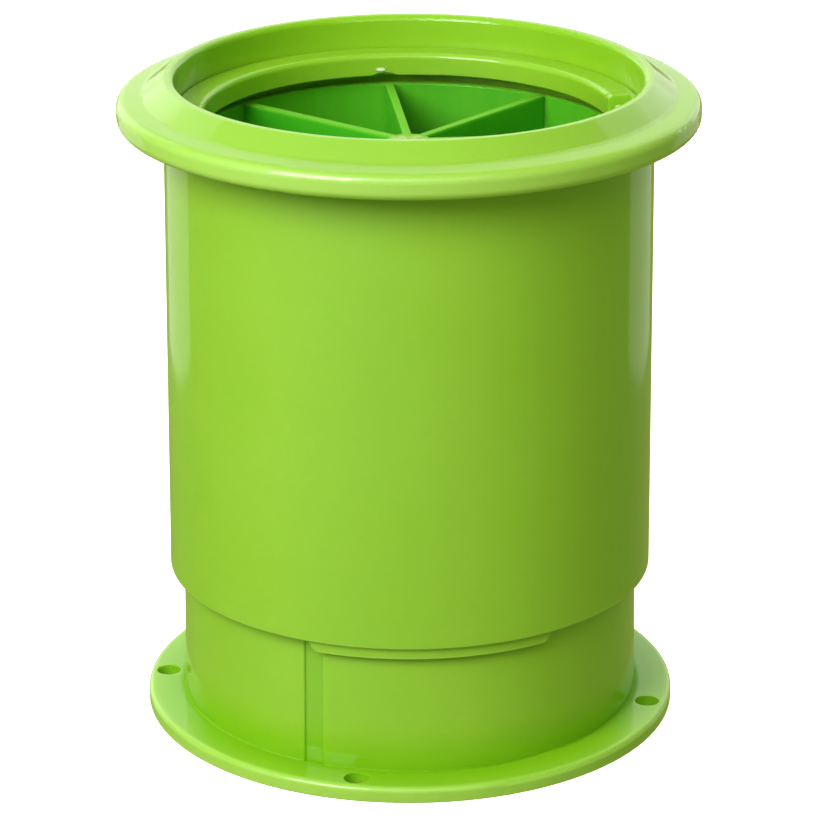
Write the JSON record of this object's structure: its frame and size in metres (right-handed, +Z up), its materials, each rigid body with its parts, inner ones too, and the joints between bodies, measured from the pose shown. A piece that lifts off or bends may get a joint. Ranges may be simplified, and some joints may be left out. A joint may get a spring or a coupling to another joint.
{
  "type": "wasp trap",
  "caption": "Screw-down wasp trap: a brimmed sleeve slides on a flanged tube holding vanes, a one-way funnel, a bait cup and a slotted floor.",
  "frame": {"origin": "centre of the screw flange's underside", "axes": "+Z up along the tube's axis; -Y towards the trap's front, where the sleeve's tongue is"},
  "size_m": [0.107, 0.107, 0.1231],
  "materials": {
    "lime_plastic": "glossy moulded lime polypropylene, slightly translucent"
  },
  "bodies": {
    "base": {"base_tube": "lime_plastic", "vane_divider": "lime_plastic", "entry_funnel": "lime_plastic", "bait_cup": "lime_plastic", "floor_grid": "lime_plastic"},
    "sleeve": {"outer_sleeve": "lime_plastic", "seat_ring": "lime_plastic"}
  },
  "joints": [
    {"name": "sleeve_height", "type": "slide", "parent": "base", "child": "sleeve", "axis": [0, 0, 1], "range_m": [-0.0018, 0.05]}
  ]
}
